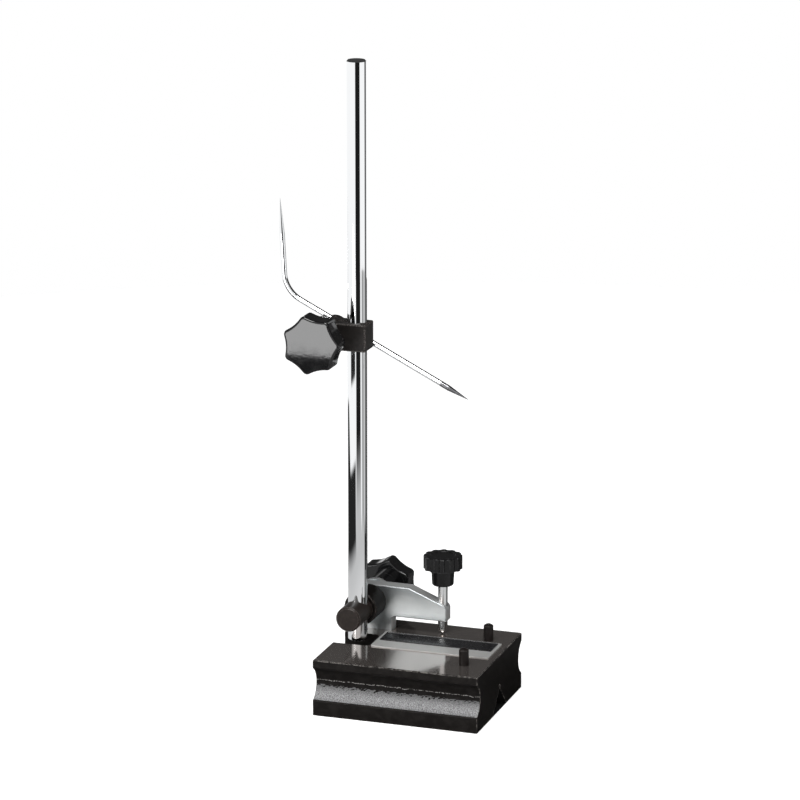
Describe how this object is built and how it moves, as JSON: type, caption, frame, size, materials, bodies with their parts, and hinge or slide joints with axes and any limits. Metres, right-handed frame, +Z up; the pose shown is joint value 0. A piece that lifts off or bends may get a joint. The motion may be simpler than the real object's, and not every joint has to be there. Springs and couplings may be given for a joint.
{
  "type": "surface gauge",
  "caption": "Surface gauge: a vee-grooved base with a fine-adjust rocker, a tilting round column, and a clamp block that carries a bent scriber.",
  "frame": {"origin": "middle of the base's underside, in the plane it stands on", "axes": "+X along the base, away from the column's end; +Y to the rear knob's side; +Z up along the column"},
  "size_m": [0.1206, 0.0909, 0.3295],
  "materials": {
    "base_iron": "blackened casting, ground glossy top, rough cast cove",
    "plate_metal": "brushed, bare",
    "pin_steel": "black oxide",
    "rocker_plating": "satin zinc-nickel plate",
    "spring_steel": "bright spring wire",
    "screw_plating": "nickel plate",
    "knob_plastic": "glossy black phenolic",
    "swivel_steel": "brown-black oxide",
    "washer_plating": "zinc plate",
    "insert_brass": "machined",
    "column_chrome": "ground and hard chromed",
    "block_steel": "black oxide",
    "scriber_chrome": "polished plate",
    "point_carbide": "hard grey point"
  },
  "bodies": {
    "base": {"base": "base_iron", "label_plate": "plate_metal", "pivot_pin": "washer_plating", "rocker_spring": "spring_steel"},
    "guide_pin_front": {"guide_pin_front": "pin_steel"},
    "guide_pin_rear": {"guide_pin_rear": "pin_steel"},
    "rocker": {"rocker_arm": "rocker_plating", "swivel_washer": "washer_plating"},
    "adjusting_screw": {"adjusting_screw": "screw_plating"},
    "adjusting_knob": {"adjusting_knob": "knob_plastic"},
    "swivel": {"swivel_pin": "swivel_steel", "thrust_sleeve": "swivel_steel"},
    "swivel_insert": {"swivel_insert": "insert_brass"},
    "swivel_knob": {"swivel_knob": "knob_plastic"},
    "column": {"column": "column_chrome"},
    "clamp_block": {"clamp_block": "block_steel"},
    "scriber_clamp": {"clamp_bolt": "block_steel", "clamp_washer": "washer_plating"},
    "clamp_insert": {"clamp_insert": "insert_brass"},
    "clamp_knob": {"clamp_knob": "knob_plastic"},
    "scriber": {"scriber": "scriber_chrome", "scriber_point": "point_carbide"}
  },
  "joints": [
    {"name": "guide_front_push", "type": "slide", "parent": "base", "child": "guide_pin_front", "axis": [0, 0, -1], "range_m": [0, 0.0085]},
    {"name": "guide_rear_push", "type": "slide", "parent": "base", "child": "guide_pin_rear", "axis": [0, 0, -1], "range_m": [0, 0.0085]},
    {"name": "rocker_tilt", "type": "hinge", "parent": "base", "child": "rocker", "pos_m": [-0.0315, 0.024, 0.0215], "axis": [0, -1, 0], "range_deg": [-2.5, 2.5], "deforming": ["rocker_spring"]},
    {"name": "screw_feed", "type": "slide", "parent": "rocker", "child": "adjusting_screw", "axis": [0, 0, -1], "range_m": [-0.00165, 0.00165]},
    {"name": "adjusting_knob_turn", "type": "hinge", "parent": "adjusting_screw", "child": "adjusting_knob", "pos_m": [0.0053, 0.024, 0.0605], "axis": [0, 0, -1], "range_deg": [-725, 725]},
    {"name": "column_tilt", "type": "hinge", "parent": "rocker", "child": "swivel", "pos_m": [-0.033, 0.0015, 0.0445], "axis": [0, 1, 0], "range_deg": [-90, 90]},
    {"name": "swivel_insert_draw", "type": "slide", "parent": "swivel", "child": "swivel_insert", "axis": [0, 1, 0], "range_m": [0, 0.0025]},
    {"name": "swivel_knob_turn", "type": "hinge", "parent": "swivel_insert", "child": "swivel_knob", "pos_m": [-0.033, 0.0432, 0.0445], "axis": [0, 1, 0], "range_deg": [-2, 724]},
    {"name": "column_turn", "type": "hinge", "parent": "swivel", "child": "column", "pos_m": [-0.033, 0.0015, 0.0445], "axis": [0, 0, 1], "continuous": true},
    {"name": "block_slide", "type": "slide", "parent": "column", "child": "clamp_block", "axis": [0, 0, 1], "range_m": [-0.04, 0.132]},
    {"name": "scriber_swing", "type": "hinge", "parent": "clamp_block", "child": "scriber_clamp", "pos_m": [-0.0479, 0.0015, 0.1895], "axis": [0, 1, 0], "continuous": true},
    {"name": "clamp_insert_draw", "type": "slide", "parent": "scriber_clamp", "child": "clamp_insert", "axis": [0, -1, 0], "range_m": [0, 0.002]},
    {"name": "clamp_knob_turn", "type": "hinge", "parent": "clamp_insert", "child": "clamp_knob", "pos_m": [-0.0479, -0.0167, 0.1895], "axis": [0, -1, 0], "range_deg": [-2, 724]},
    {"name": "scriber_reach", "type": "slide", "parent": "scriber_clamp", "child": "scriber", "axis": [0.8942, 0, -0.4478], "range_m": [-0.05, 0.014]}
  ],
  "couplings": [
    {"joint": "screw_feed", "follows": "rocker_tilt", "m_per_rad": 0.0368},
    {"joint": "adjusting_knob_turn", "follows": "rocker_tilt", "ratio": 289.03},
    {"joint": "swivel_knob_turn", "follows": "swivel_insert_draw", "rad_per_m": 5026.5},
    {"joint": "clamp_knob_turn", "follows": "clamp_insert_draw", "rad_per_m": 6283.2}
  ]
}
